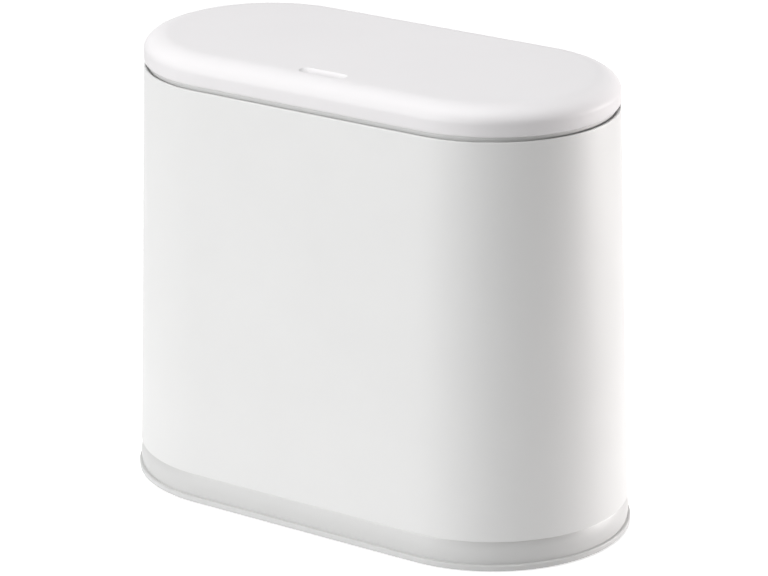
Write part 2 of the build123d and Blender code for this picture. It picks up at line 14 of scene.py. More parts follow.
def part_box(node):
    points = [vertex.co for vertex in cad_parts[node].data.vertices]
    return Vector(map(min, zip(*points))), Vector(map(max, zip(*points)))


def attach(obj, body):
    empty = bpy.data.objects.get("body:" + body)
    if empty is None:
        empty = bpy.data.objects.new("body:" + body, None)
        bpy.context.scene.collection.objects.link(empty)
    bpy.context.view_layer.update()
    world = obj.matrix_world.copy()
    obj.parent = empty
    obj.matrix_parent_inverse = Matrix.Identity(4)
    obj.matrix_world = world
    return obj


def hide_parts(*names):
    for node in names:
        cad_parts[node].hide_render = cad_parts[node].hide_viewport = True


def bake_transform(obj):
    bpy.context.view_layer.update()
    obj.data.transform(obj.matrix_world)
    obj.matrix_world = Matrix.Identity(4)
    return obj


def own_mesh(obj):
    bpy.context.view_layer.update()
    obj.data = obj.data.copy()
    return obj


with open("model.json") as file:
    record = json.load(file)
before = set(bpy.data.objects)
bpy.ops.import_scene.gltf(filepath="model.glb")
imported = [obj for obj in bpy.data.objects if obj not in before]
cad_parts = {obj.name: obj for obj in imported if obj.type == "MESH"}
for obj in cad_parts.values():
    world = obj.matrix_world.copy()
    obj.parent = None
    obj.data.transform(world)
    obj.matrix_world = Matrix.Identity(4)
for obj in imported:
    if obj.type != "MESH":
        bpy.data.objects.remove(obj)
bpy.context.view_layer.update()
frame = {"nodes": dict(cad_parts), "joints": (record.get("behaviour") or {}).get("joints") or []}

# The bin is drawn in millimetres, as its source is, and turned into metres where a mesh is made.
MM = 0.001
QUARTER = math.pi / 2
# Smallest divisor, and the decimals of a millimetre past which two points are one.
TINY = 1e-9
WELD_DIGITS = 5
IMAGE_WIDTH = 768
LOG = logging.getLogger("press_top_bin")

Array = np.ndarray
Socket = bpy.types.NodeSocket
Triple = tuple[float, float, float]
Span = tuple[float, float]
# Range that a noise keeps to almost everywhere.
NOISE_SPAN: Span = (0.3, 0.7)


class Body(Enum):
    """Bodies of the frame that the new pieces ride on."""

    BIN = "bin"
    FRAME = "frame"
    LID = "lid"


class Slot(Enum):
    """Material slots of the record."""

    BODY = "body_white"
    LID = "lid_white"
    FRAME = "frame_white"
    BUCKET = "bucket_grey"
    LATCH = "latch_grey"
    MAGNET = "magnet_nickel"
    RUBBER = "rubber"
    ZINC = "zinc_steel"
    SPRING = "spring_steel"


class Side(Enum):
    """Left and right of the bin, as the sign of X."""

    LEFT = -1
    RIGHT = 1


def node_box(node: str) -> Array:
    """Lowest and highest corner of a node of the frame, in millimetres."""
    return np.array(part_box(node)) / MM


def unit(vectors: Array) -> Array:
    """Scale vectors to length one, leaving those of no length as they are.

    Args:
        vectors: Array whose last axis holds the components.

    Returns:
        Array of the same shape.
    """
    length = np.linalg.norm(vectors, axis=-1, keepdims=True)
    return vectors / np.maximum(length, TINY)


def rounded(corners: Array, radii: Array, looped: bool, steps: int = 6, margin: float = 0.3) -> Array:
    """Section through given corners, with an arc at each of them.

    An arc of radius r touches both sides at r / tan(h) from its corner, where h is half the angle between the
    sides, and its centre stands r / sin(h) along the bisector. Its points are the circular mean of the two spokes,
    (sin((1 - t) w) a + sin(t w) b) / sin(w) for a sweep w. Each straight side gets points near its ends and at its
    middle, so that shading stays flat up to the arcs.

    Args:
        corners: Corner points, one row each, as distance out and height.
        radii: Arc radius at each corner; the ends of an open section have none.
        looped: Whether the last corner joins the first.
        steps: Spans in each arc.
        margin: Distance of a side's first and last inner points from the arcs.

    Returns:
        Points of the section, one row each.
    """
    to_last = unit(np.roll(corners, 1, axis=0) - corners)
    to_next = unit(np.roll(corners, -1, axis=0) - corners)
    half = np.arccos(np.clip((to_last * to_next).sum(axis=1), -1, 1)) / 2
    reach = (radii / np.tan(half))[:, None]
    centre = corners + unit(to_last + to_next) * (radii / np.sin(half))[:, None]
    first = corners + to_last * reach
    last = corners + to_next * reach
    sweep = (math.pi - 2 * half)[:, None]
    share = np.linspace(0, 1, steps + 1)[None, :]
    scale = np.maximum(np.sin(sweep), TINY)
    fall = (np.sin((1 - share) * sweep) / scale)[..., None]
    rise = (np.sin(share * sweep) / scale)[..., None]
    arcs = centre[:, None] + fall * (first - centre)[:, None] + rise * (last - centre)[:, None]
    run = np.roll(first, -1, axis=0) - last
    near = np.minimum(margin / np.maximum(np.linalg.norm(run, axis=1), TINY), 0.25)
    places = np.stack([near, np.full_like(near, 0.5), 1 - near], axis=1)[..., None]
    sides = last[:, None] + places * run[:, None]
    points = np.concatenate([arcs, sides], axis=1).reshape(-1, 2)
    return points if looped else points[: -sides.shape[1]]


@dataclass
class Surface:
    """Points in millimetres and the four-cornered faces that join them."""

    points: Array
    faces: Array

    @classmethod
    def from_grid(cls, grid: Array, looped: bool) -> "Surface":
        """Close a grid of points into a skin.

        Columns run round and meet. Rows meet too where the section is a loop. Points that fall together are made
        one, and the faces are turned so that the sum of a . (b x c) over their triangles, six times the volume
        inside, counts positive.

        Args:
            grid: Points by row, column and axis.
            looped: Whether the last row joins the first.

        Returns:
            The closed surface.
        """
        rows, columns = grid.shape[:2]
        index = np.arange(rows * columns).reshape(rows, columns)
        upper = np.roll(index, -1, axis=0) if looped else index[1:]
        lower = index if looped else index[:-1]
        beside = np.roll(lower, -1, axis=1), np.roll(upper, -1, axis=1)
        faces = np.stack([lower, beside[0], beside[1], upper], axis=-1).reshape(-1, 4)
        points, place = np.unique(np.round(grid.reshape(-1, 3), WELD_DIGITS), axis=0, return_inverse=True)
        faces = place.reshape(-1)[faces]
        a, b, c, d = (points[faces[:, corner]] for corner in range(4))
        volume = (a * np.cross(b, c)).sum() + (a * np.cross(c, d)).sum()
        return cls(points, faces if volume > 0 else faces[:, ::-1])

    @classmethod
    def joined(cls, parts: list["Surface"]) -> "Surface":
        """Put several surfaces into one.

        Args:
            parts: Surfaces that stay separate skins of one piece.

        Returns:
            The joined surface.
        """
        offsets = np.cumsum([0] + [len(part.points) for part in parts[:-1]])
        faces = np.concatenate([part.faces + offset for part, offset in zip(parts, offsets)])
        return cls(np.concatenate([part.points for part in parts]), faces)

    def mirrored(self) -> "Surface":
        """Same surface on the other side of X = 0, with its faces turned back outwards."""
        return Surface(self.points * [-1, 1, 1], self.faces[:, ::-1])

    def make_object(self, name: str) -> bpy.types.Object:
        """Put the surface into a smooth-shaded mesh in the scene.

        A face that lost a corner when points were made one stays as a triangle, and one that lost more is dropped.

        Args:
            name: Name of the object and its mesh.

        Returns:
            The new object, at the origin.
        """
        kept = self.faces != np.roll(self.faces, -1, axis=1)
        whole = kept.sum(axis=1) > 2
        corners = self.faces[whole][kept[whole]]
        starts = np.cumsum(kept[whole].sum(axis=1)) - kept[whole].sum(axis=1)
        mesh = bpy.data.meshes.new(name)
        mesh.vertices.add(len(self.points))
        mesh.vertices.foreach_set("co", (self.points * MM).astype(np.float32).ravel())
        mesh.loops.add(len(corners))
        mesh.loops.foreach_set("vertex_index", corners.astype(np.int32))
        mesh.polygons.add(len(starts))
        mesh.polygons.foreach_set("loop_start", starts.astype(np.int32))
        mesh.update(calc_edges=True)
        mesh.validate()
        mesh.shade_smooth()
        made = bpy.data.objects.new(name, mesh)
        bpy.context.scene.collection.objects.link(made)
        return made


@dataclass(frozen=True)
class Stadium:
    """Path round a straight spine along X: two straight sides and two half-round ends."""

    half: float
    stations: Array
    end_steps: int = 64

    def columns(self) -> tuple[Array, Array]:
        """Places round the path: front from left to right, right end, back, left end.

        Returns:
            The anchor of each column on the spine, and the angle of its outward direction.
        """
        turn = np.linspace(-QUARTER, QUARTER, self.end_steps + 1)[1:-1]
        flat = np.ones_like(self.stations)
        ends = np.ones_like(turn)
        anchor = np.concatenate([self.stations, self.half * ends, self.stations[::-1], -self.half * ends])
        angle = np.concatenate([-QUARTER * flat, turn, QUARTER * flat, turn + math.pi])
        return anchor, angle

    def carry(self, section: Array) -> Array:
        """Carry a section round the path: x = anchor + out cos(angle), y = out sin(angle), z = height.

        Args:
            section: Rows of distance out and height.

        Returns:
            Grid of points by row, column and axis.
        """
        anchor, angle = self.columns()
        out, height = section[:, :1], section[:, 1:]
        grid = (anchor + out * np.cos(angle), out * np.sin(angle), height + 0 * anchor)
        return np.stack(grid, axis=-1)


def turned(section: Array, x: float, y: float, looped: bool, sides: int = 48) -> Surface:
    """Turn a section about an upright axis: the point (r, z) goes to (x + r cos v, y + r sin v, z).

    Args:
        section: Rows of radius and height.
        x: Place of the axis along X.
        y: Place of the axis along Y.
        looped: Whether the section is a loop clear of the axis.
        sides: Columns round the axis.

    Returns:
        The turned surface.
    """
    angle = np.linspace(0, math.tau, sides, endpoint=False)
    radius, height = section[:, :1], section[:, 1:]
    grid = (x + radius * np.cos(angle), y + radius * np.sin(angle), height + 0 * angle)
    return Surface.from_grid(np.stack(grid, axis=-1), looped)


def wire(path: Array, spoke: Array, radius: float, sides: int = 14, dome_steps: int = 4) -> Surface:
    """Round wire along a path: each point carries the circle radius (N cos v + B sin v), with domed ends.

    Args:
        path: Points along the middle of the wire.
        spoke: Direction N at each point, across the path.
        radius: Radius of the wire.
        sides: Columns round the wire.
        dome_steps: Rows in each dome.

    Returns:
        The closed wire.
    """
    along = unit(np.gradient(path, axis=0))
    across = unit(np.cross(along, spoke))
    spoke = np.cross(across, along)
    dome = np.linspace(QUARTER, 0, dome_steps, endpoint=False)
    head = path[0] - radius * np.sin(dome)[:, None] * along[0]
    tail = path[-1] + radius * np.sin(dome[::-1])[:, None] * along[-1]
    middle = np.concatenate([head, path, tail])
    girth = radius * np.concatenate([np.cos(dome), np.ones(len(path)), np.cos(dome[::-1])])
    row = np.clip(np.arange(len(middle)) - dome_steps, 0, len(path) - 1)
    turn = np.linspace(0, math.tau, sides, endpoint=False)[None, :, None]
    ring = spoke[row][:, None] * np.cos(turn) + across[row][:, None] * np.sin(turn)
    return Surface.from_grid(middle[:, None] + girth[:, None, None] * ring, looped=False)


def stations(half: float, *dense: Array, spacing: float = 6.0, digits: int = 4) -> Array:
    """Places along a straight side: an even spread, and denser places near features.

    Args:
        half: Half-length of the side.
        dense: Places to add on both sides of the middle.
        spacing: Step of the even spread.
        digits: Decimals past which two places are one.

    Returns:
        Sorted places from -half to half, the same on both sides.
    """
    even = np.linspace(0, half, round(half / spacing) + 1)
    right = np.unique(np.round(np.concatenate([even, *dense]), digits))
    return np.unique(np.concatenate([-right, right]))


@dataclass(frozen=True)
class Plan:
    """Sizes that several sub-assemblies share, in millimetres, read from the frame."""

    spine_half: float
    foot_radius: float
    rim_radius: float
    sleeve_bottom: float
    sleeve_top: float
    lid_top: float
    hinge_y: float
    hinge_z: float

    @classmethod
    def from_frame(cls) -> "Plan":
        """Measure the frame's nodes and read its hinge line.

        Returns:
            The shared sizes.
        """
        low, high = node_box("outer_sleeve")
        lid_low, lid_high = node_box("lid_shell")
        hinge = next(joint for joint in frame["joints"] if joint["name"] == "lid_open")
        size = high - low
        return cls(
            spine_half=(size[0] - size[1]) / 2,
            foot_radius=size[1] / 2,
            rim_radius=-lid_low[1],
            sleeve_bottom=low[2],
            sleeve_top=high[2],
            lid_top=lid_high[2],
            hinge_y=hinge["pos_m"][1] / MM,
            hinge_z=hinge["pos_m"][2] / MM,
        )

    def sleeve_radius(self, height: float) -> float:
        """Outer radius of the drafted sleeve, which falls evenly from foot to rim."""
        share = (height - self.sleeve_bottom) / (self.sleeve_top - self.sleeve_bottom)
        return self.foot_radius + (self.rim_radius - self.foot_radius) * share


@dataclass(frozen=True)
class Noise:
    """A noise: its cells per metre, the finer layers on top of the first, and each layer's share of the one before."""

    scale: float
    detail: float
    layer_share: float = 0.55


class Bench:
    """Node tree of one material, with a principled shader and Object coordinates."""

    def __init__(self, name: str) -> None:
        """Start a material with its shader joined to the output.

        Args:
            name: Name of the material.
        """
        self.material = bpy.data.materials.new(name)
        self.material.use_nodes = True
        self.tree = self.material.node_tree
        self.tree.nodes.clear()
        self.shader = self.add("ShaderNodeBsdfPrincipled")
        output = self.add("ShaderNodeOutputMaterial")
        self.link(self.shader.outputs["BSDF"], output.inputs["Surface"])
        self.place = self.add("ShaderNodeTexCoord").outputs["Object"]

    def add(self, kind: str, **values: float | Triple) -> bpy.types.Node:
        """Add a node and set its plain inputs.

        Args:
            kind: Blender's type of the node.
            values: Input values by name, with _ for a space.

        Returns:
            The node.
        """
        node = self.tree.nodes.new(kind)
        for name, value in values.items():
            node.inputs[name.replace("_", " ")].default_value = value
        return node

    def link(self, source: Socket, target: Socket) -> None:
        """Join two sockets."""
        self.tree.links.new(source, target)

    def stretched(self, scale: Triple) -> Socket:
        """Object coordinates scaled along each axis.

        Args:
            scale: Factor along each axis.

        Returns:
            The coordinates' socket.
        """
        mapping = self.add("ShaderNodeMapping", Scale=scale)
        self.link(self.place, mapping.inputs["Vector"])
        return mapping.outputs["Vector"]

    def noise(self, noise: Noise, place: Socket | None = None) -> Socket:
        """Noise from 0 to 1.

        Args:
            noise: Its fineness.
            place: Coordinates to read, the object's own where none are given.

        Returns:
            The noise's factor.
        """
        node = self.add("ShaderNodeTexNoise", Scale=noise.scale, Detail=noise.detail, Roughness=noise.layer_share)
        self.link(place or self.place, node.inputs["Vector"])
        return node.outputs["Fac"]

    def tint(self, factor: Socket, colour: Triple, spread: float) -> None:
        """Colour that runs from a shade darker to a shade lighter along a factor.

        Args:
            factor: Socket from 0 to 1.
            colour: Middle colour.
            spread: Share by which the brightness moves each way.
        """
        ramp = self.add("ShaderNodeValToRGB")
        for element, shift, place in zip(ramp.color_ramp.elements, (-spread, spread), NOISE_SPAN):
            element.position = place
            element.color = (*(channel * (1 + shift) for channel in colour), 1)
        self.link(factor, ramp.inputs["Fac"])
        self.link(ramp.outputs["Color"], self.shader.inputs["Base Color"])

    def gloss(self, factor: Socket, span: Span) -> None:
        """Roughness that runs between two values along a factor.

        Args:
            factor: Socket from 0 to 1.
            span: Lowest and highest roughness.
        """
        low, high = NOISE_SPAN
        spread = self.add("ShaderNodeMapRange", From_Min=low, From_Max=high, To_Min=span[0], To_Max=span[1])
        self.link(factor, spread.inputs["Value"])
        self.link(spread.outputs["Result"], self.shader.inputs["Roughness"])

    def relief(self, factor: Socket, strength: float, depth: float) -> None:
        """Raise and sink the surface's shading along a factor.

        Args:
            factor: Socket from 0 to 1.
            strength: Share of the relief that shows.
            depth: Height of the relief in millimetres.
        """
        bump = self.add("ShaderNodeBump", Strength=strength, Distance=depth * MM)
        self.link(factor, bump.inputs["Height"])
        self.link(bump.outputs["Normal"], self.shader.inputs["Normal"])


@dataclass(frozen=True)
class Finish(ABC):
    """Procedural finish: a colour that varies by a share, and a roughness between two values."""

    name: str
    colour: Triple
    roughness: Span
    spread: float

    @abstractmethod
    def material(self) -> bpy.types.Material:
        """Make the material."""


@dataclass(frozen=True)
class MouldedPlastic(Finish):
    """Injection-moulded plastic: broad mottle, cloudy gloss and the fine grain of an etched mould."""

    mottle: Noise = Noise(14.0, 2.0)
    cloud: Noise = Noise(55.0, 3.0)
    grain: Noise = Noise(1500.0, 2.0)
    grain_depth: float = 0.02
    grain_strength: float = 0.12
    refraction: float = 1.49
    specular: float = 0.5

    def material(self) -> bpy.types.Material:
        """Make the material.

        Returns:
            The material.
        """
        bench = Bench(self.name)
        bench.tint(bench.noise(self.mottle), self.colour, self.spread)
        bench.gloss(bench.noise(self.cloud), self.roughness)
        bench.relief(bench.noise(self.grain), self.grain_strength, self.grain_depth)
        bench.shader.inputs["IOR"].default_value = self.refraction
        bench.shader.inputs["Specular IOR Level"].default_value = self.specular
        return bench.material


@dataclass(frozen=True)
class Rubber(MouldedPlastic):
    """Soft rubber with a dusty bloom and a coarse grain."""

    mottle: Noise = Noise(160.0, 4.0)
    cloud: Noise = Noise(300.0, 2.0)
    grain: Noise = Noise(1800.0, 3.0)
    grain_depth: float = 0.04
    grain_strength: float = 0.35
    refraction: float = 1.5
    specular: float = 0.35


@dataclass(frozen=True)
class PlatedSteel(Finish):
    """Plated metal: crystal flakes in its colour, fine drawing lines along one axis in its relief."""

    flake_scale: float = 420.0
    line_scale: Triple = (60.0, 900.0, 900.0)
    line_noise: Noise = Noise(1.0, 3.0)
    line_depth: float = 0.02
    line_strength: float = 0.2

    def material(self) -> bpy.types.Material:
        """Make the material.

        Returns:
            The material.
        """
        bench = Bench(self.name)
        flakes = bench.add("ShaderNodeTexVoronoi", Scale=self.flake_scale)
        bench.link(bench.place, flakes.inputs["Vector"])
        bench.tint(flakes.outputs["Distance"], self.colour, self.spread)
        drawn = bench.noise(self.line_noise, bench.stretched(self.line_scale))
        bench.gloss(drawn, self.roughness)
        bench.relief(drawn, self.line_strength, self.line_depth)
        bench.shader.inputs["Metallic"].default_value = 1.0
        return bench.material


FINISHES: dict[Slot, Finish] = {
    Slot.BODY: MouldedPlastic("satin_white_body", (0.80, 0.80, 0.795), (0.36, 0.42), 0.008),
    Slot.LID: MouldedPlastic("satin_white_lid", (0.83, 0.815, 0.825), (0.46, 0.54), 0.008, specular=0.4),
    # Painted shade: the frame's white plastic is made darker so the ring seen through the gap under the lid reads as a
    # shaded seam; the lid liner wears it too.
    Slot.FRAME: MouldedPlastic("white_frame_painted_shade", (0.68, 0.68, 0.675), (0.42, 0.50), 0.012),
    Slot.BUCKET: MouldedPlastic("grey_bucket", (0.36, 0.365, 0.37), (0.45, 0.56), 0.03, grain_strength=0.3),
    Slot.LATCH: MouldedPlastic("grey_latch", (0.30, 0.305, 0.31), (0.38, 0.48), 0.03),
    Slot.MAGNET: PlatedSteel("nickel_magnet", (0.72, 0.70, 0.66), (0.16, 0.28), 0.03),
    Slot.RUBBER: Rubber("black_rubber", (0.025, 0.025, 0.026), (0.62, 0.80), 0.25),
    Slot.ZINC: PlatedSteel("zinc_plate", (0.62, 0.63, 0.64), (0.24, 0.40), 0.08),
    Slot.SPRING: PlatedSteel("spring_wire", (0.50, 0.50, 0.49), (0.20, 0.34), 0.05),
}
# Painted shade: the body's white plastic made darker so the base tray and its foot sockets show the shade that falls
# on the base.
BASE_PAINTED_SHADE_FINISH = MouldedPlastic("white_base_painted_shade", (0.66, 0.66, 0.655), (0.40, 0.46), 0.012)


class FinishRack:
    """Materials by finish, each made once."""

    def __init__(self) -> None:
        """Start with no material made."""
        self.materials: dict[Finish, bpy.types.Material] = {}

    def coat(self, target: bpy.types.Object, finish: Finish) -> None:
        """Give every material slot of an object one finish.

        Args:
            target: Mesh object, a new piece or a node of the frame.
            finish: The finish to give it.
        """
        if finish not in self.materials:
            self.materials[finish] = finish.material()
        if not target.material_slots:
            target.data.materials.append(None)
        for place in target.material_slots:
            place.material = self.materials[finish]


@dataclass
class Piece:
    """A new piece of the bin, with the body it rides on, its slot and the nodes it stands for.

    Its finish is the slot's, unless it has one of its own.
    """

    surface: Surface
    name: str
    body: Body
    slot: Slot
    stands_for: tuple[str, ...] = ()
    finish: Finish | None = None

    def make(self, rack: FinishRack) -> bpy.types.Object:
        """Make the object, coat it and fix it to its body.

        Args:
            rack: Materials by finish.

        Returns:
            The object.
        """
        made = self.surface.make_object(self.name)
        rack.coat(made, self.finish or FINISHES[self.slot])
        if self.stands_for:
            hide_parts(*self.stands_for)
        self.attach(made)
        return made

    def attach(self, made: bpy.types.Object) -> None:
        """Make the object move with its body."""
        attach(made, self.body.value)


@dataclass(kw_only=True)
class TwistedPiece(Piece):
    """A piece with a far body and a span between two points, which nothing reads; it stays where it is made."""

    far_body: Body
    span: tuple[Vector, Vector]

    def attach(self, made: bpy.types.Object) -> None:
        """Bake the object's place into its mesh, without fixing it to a body."""
        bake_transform(made)


@dataclass(kw_only=True)
class PressedPiece(Piece):
    """A piece that rides on its body; its joint, anchor and share to keep when pressed are stored and not used."""

    joint: str
    anchor: Vector
    keep: float

    def attach(self, made: bpy.types.Object) -> None:
        """Make the object ride on its body, with a mesh of its own."""
        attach(made, self.body.value)
        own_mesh(made)


@dataclass
class SubAssembly:
    """Part of the bin that is built and dressed together.

    kept_nodes names the nodes of the frame that stay as they are, with the slot that gives their finish.
    """

    kept_nodes: ClassVar[dict[str, Slot]] = {}
    plan: Plan

    def build(self) -> list[Piece]:
        """Work out the new pieces; a plain sub-assembly has none."""
        return []

    def dress(self, rack: FinishRack) -> None:
        """Make the new pieces and coat the nodes that stay.

        Args:
            rack: Materials by finish.
        """
        for piece in self.build():
            made = piece.make(rack)
            LOG.info("%s: %s, %d faces", type(self).__name__, made.name, len(made.data.polygons))
        for node, slot in self.kept_nodes.items():
            rack.coat(frame["nodes"][node], FINISHES[slot])
            LOG.info("%s: %s keeps its solid", type(self).__name__, node)


@dataclass
class Base(SubAssembly):
    """Base tray with its bulged skirt, lip, floor, bucket fence and foot sockets."""

    kept_nodes: ClassVar[dict[str, Slot]] = {
        f"foot_{row}_{side}": Slot.RUBBER for row in ("front", "rear") for side in ("left", "right")
    }
    lip_bottom: float = 1.0
    lip_overhang: float = 1.5
    lip_height: float = 3.6
    lip_round: float = 0.8
    lip_lean: float = 1.08
    ledge_width: float = 2.0
    wall: float = 2.2
    floor_bottom: float = 5.0
    floor_thickness: float = 2.5
    seat_inset: float = 1.5
    skirt_bulge: float = 1.1
    spigot_height: float = 13.0
    spigot_wall: float = 2.0
    sleeve_wall: float = 2.4
    fit: float = 0.3
    fence_height: float = 3.0
    fence_wall: float = 2.0
    fence_gap: float = 0.6
    bucket_foot_radius: float = 60.0
    edge_round: float = 0.3
    socket_radius: float = 9.3
    socket_wall: float = 2.4
    socket_low: float = 2.2
    socket_depth: float = 1.0
    arc_steps: int = 24

    def lip(self) -> tuple[float, float]:
        """Distance out of the lip's edge, and the height of the ledge on it."""
        return self.plan.foot_radius + self.lip_overhang, self.lip_bottom + self.lip_height

    def skirt(self) -> Array:
        """Outer face from the ledge up to the sleeve's seat: one arc that stands out from its chord by the bulge.

        With half a chord h and a bulge b its radius r is (h^2 + b^2) / (2 b), and at a distance s from the chord's
        middle it stands sqrt(r^2 - s^2) - (r - b) out.

        Returns:
            Rows of distance out and height.
        """
        lip, ledge = self.lip()
        tuck = lip - self.ledge_width
        chord = np.array([self.plan.foot_radius - self.seat_inset - tuck, self.plan.sleeve_bottom - ledge])
        half = np.linalg.norm(chord) / 2
        along = chord / (2 * half)
        bend = (half**2 + self.skirt_bulge**2) / (2 * self.skirt_bulge)
        place = np.linspace(-half, half, self.arc_steps + 1)[:, None]
        stand = np.sqrt(bend**2 - place**2) - (bend - self.skirt_bulge)
        return [tuck, ledge] + chord / 2 + place * along + stand * [along[1], -along[0]]

    def section(self) -> Array:
        """Section of the tray from the spine's underside, round the lip and the spigot, to the floor's top.

        Returns:
            Rows of distance out and height.
        """
        plan = self.plan
        lip, ledge = self.lip()
        top = plan.sleeve_bottom
        floor_top = self.floor_bottom + self.floor_thickness
        spigot_top = top + self.spigot_height
        low = plan.sleeve_radius(top) - self.sleeve_wall - self.fit
        high = plan.sleeve_radius(spigot_top) - self.sleeve_wall - self.fit
        inner_foot = lip - self.wall
        fence = self.bucket_foot_radius + self.fence_gap
        skirt = self.skirt()
        under = rounded(
            np.array([
                (0, self.floor_bottom),
                (inner_foot - self.lip_lean, self.floor_bottom),
                (inner_foot, self.lip_bottom),
                (lip, self.lip_bottom),
                (lip, ledge),
                skirt[0],
            ]),
            np.array([0, self.edge_round, self.edge_round, self.lip_round, self.lip_round, 0]),
            looped=False,
        )
        over = rounded(
            np.array([
                skirt[-1],
                (low, top),
                (high, spigot_top),
                (high - self.spigot_wall, spigot_top),
                (low - self.spigot_wall, top),
                (inner_foot - self.wall, floor_top),
                (fence + self.fence_wall, floor_top),
                (fence + self.fence_wall, floor_top + self.fence_height),
                (fence, floor_top + self.fence_height),
                (fence, floor_top),
                (0, floor_top),
            ]),
            np.array([0] + [self.edge_round] * 9 + [0]),
            looped=False,
        )
        return np.concatenate([under, skirt[1:-1], over])

    def foot_sockets(self) -> Surface:
        """Cups under the floor, one round each rubber foot.

        Returns:
            The cups as one surface.
        """
        outer = self.socket_radius + self.socket_wall
        top = self.floor_bottom + self.floor_thickness / 2
        roof = self.socket_low + self.socket_depth
        section = rounded(
            np.array([
                (0, top),
                (outer, top),
                (outer, self.socket_low),
                (self.socket_radius, self.socket_low),
                (self.socket_radius, roof),
                (0, roof),
            ]),
            np.array([0] + [self.edge_round] * 4 + [0]),
            looped=False,
        )
        centres = [node_box(node).mean(axis=0) for node in self.kept_nodes]
        return Surface.joined([turned(section, x, y, looped=False) for x, y, _ in centres])

    def build(self) -> list[Piece]:
        """Work out the tray and its sockets.

        Returns:
            The tray and the sockets.
        """
        path = Stadium(self.plan.spine_half, stations(self.plan.spine_half))
        tray = Surface.from_grid(path.carry(self.section()), looped=False)
        return [
            Piece(tray, "base_moulding", Body.BIN, Slot.BODY, ("base_tray",), BASE_PAINTED_SHADE_FINISH),
            Piece(self.foot_sockets(), "base_foot_sockets", Body.BIN, Slot.BODY, finish=BASE_PAINTED_SHADE_FINISH),
        ]


@dataclass
class Sleeve(SubAssembly):
    """Drafted body with a rebated rim and a notch behind for the hinge."""

    wall: float = 2.4
    rim_lip: float = 1.1
    rebate: float = 3.0
    rim_round: float = 0.7
    foot_round: float = 0.6
    edge_round: float = 0.25
    notch_half: float = 65.8
    notch_drop: float = 5.5
    notch_round: float = 1.2
    notch_step: float = 0.04
    notch_rows: int = 9

    def section(self) -> Array:
        """Loop of the wall: foot, outer face, rim, rebate and inner face.

        Returns:
            Rows of distance out and height.
        """
        plan = self.plan
        top = plan.sleeve_top
        notch = top - self.notch_drop
        shelf = top - self.rebate
        lip = plan.rim_radius - self.rim_lip
        return rounded(
            np.array([
                (plan.foot_radius - self.wall, plan.sleeve_bottom),
                (plan.foot_radius, plan.sleeve_bottom),
                (plan.sleeve_radius(notch), notch),
                (plan.rim_radius, top),
                (lip, top),
                (lip, shelf),
                (plan.sleeve_radius(shelf) - self.wall, shelf),
                (plan.sleeve_radius(notch) - self.wall, notch),
            ]),
            np.array([self.edge_round, self.foot_round, 0, self.rim_round, self.edge_round, self.edge_round,
                      self.edge_round, 0]),
            looped=True,
        )

    def notch_places(self) -> Array:
        """Places along the side that draw the notch's corners.

        Returns:
            Half the places, from the middle to the right.
        """
        start = self.notch_half - self.notch_round
        bend = start + self.notch_round * np.sin(np.linspace(0, QUARTER, self.notch_rows))
        return np.append(bend, self.notch_half + self.notch_step)

    def cut_notch(self, grid: Array) -> Array:
        """Hold the rear rim down to the notch.

        Heights there are capped at the notch's floor, which climbs r - sqrt(r^2 - s^2) at a distance s into each
        rounded corner.

        Args:
            grid: Points of the wall.

        Returns:
            Points with the notch.
        """
        into = np.abs(grid[..., 0]) - (self.notch_half - self.notch_round)
        climb = self.notch_round - np.sqrt(np.maximum(self.notch_round**2 - np.maximum(into, 0) ** 2, 0))
        cap = self.plan.sleeve_top - self.notch_drop + climb
        behind = (grid[..., 1] > 0) & (into <= self.notch_round + self.notch_step / 2)
        cut = grid.copy()
        cut[..., 2] = np.where(behind, np.minimum(grid[..., 2], cap), grid[..., 2])
        return cut

    def build(self) -> list[Piece]:
        """Work out the body.

        Returns:
            The body.
        """
        path = Stadium(self.plan.spine_half, stations(self.plan.spine_half, self.notch_places()))
        wall = Surface.from_grid(self.cut_notch(path.carry(self.section())), looped=True)
        return [Piece(wall, "body_sleeve", Body.BIN, Slot.BODY, ("outer_sleeve",))]


@dataclass
class Bucket(SubAssembly):
    """Lift-out bucket with the ring that holds a bag."""

    kept_nodes: ClassVar[dict[str, Slot]] = {"inner_bucket": Slot.BUCKET, "bag_ring": Slot.BUCKET}


@dataclass
class TopFrame(SubAssembly):
    """Ring in the body's rim, with the lid's bumpers."""

    kept_nodes: ClassVar[dict[str, Slot]] = {
        "top_frame": Slot.FRAME,
        "lid_bumper_left": Slot.RUBBER,
        "lid_bumper_right": Slot.RUBBER,
    }


